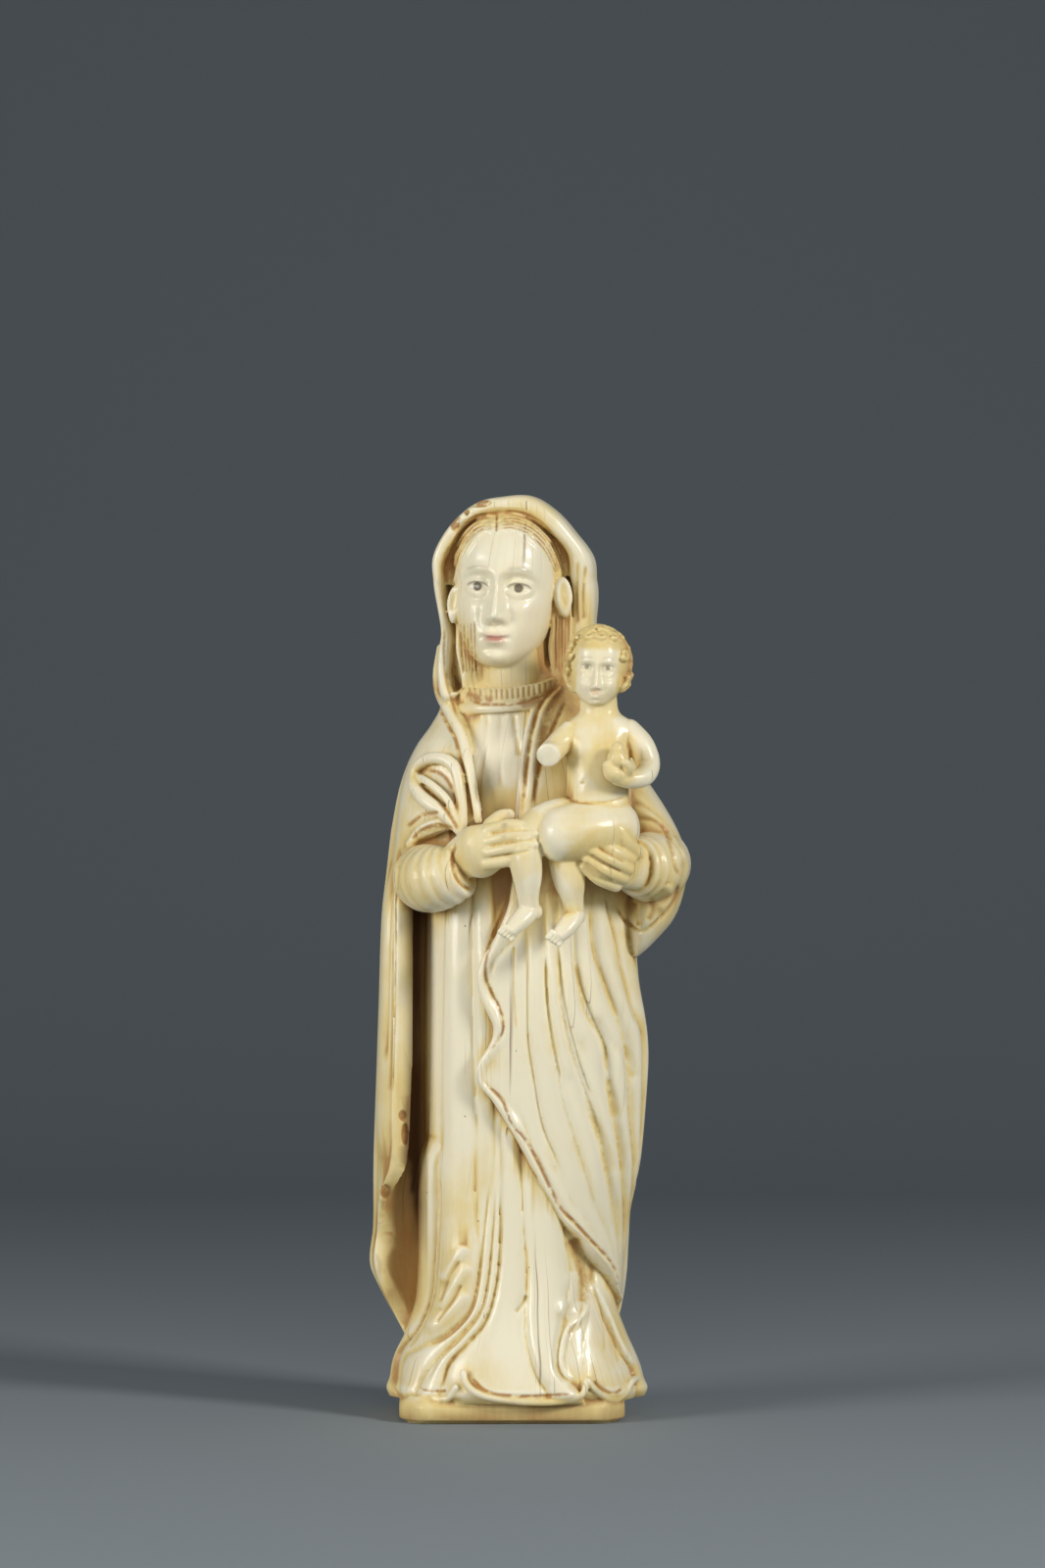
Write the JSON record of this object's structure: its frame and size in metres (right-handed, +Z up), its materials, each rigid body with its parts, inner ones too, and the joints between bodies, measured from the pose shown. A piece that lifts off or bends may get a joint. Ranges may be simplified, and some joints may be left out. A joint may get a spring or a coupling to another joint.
{
  "type": "virgin and child statuette",
  "caption": "Standing robed woman in a hooded mantle with a seated child on her arm, carved in ivory on a low plinth.",
  "frame": {"origin": "on the plinth's underside, below the middle of the figure's box", "axes": "+Z up, +X to the viewer's right, and the figure faces -Y"},
  "size_m": [0.0756, 0.0552, 0.22],
  "materials": {
    "ivory": "polished old ivory, yellowed in the hollows, with fine drying cracks and brown traces of gilding"
  },
  "bodies": {
    "root": {"statuette": "ivory"}
  },
  "joints": []
}
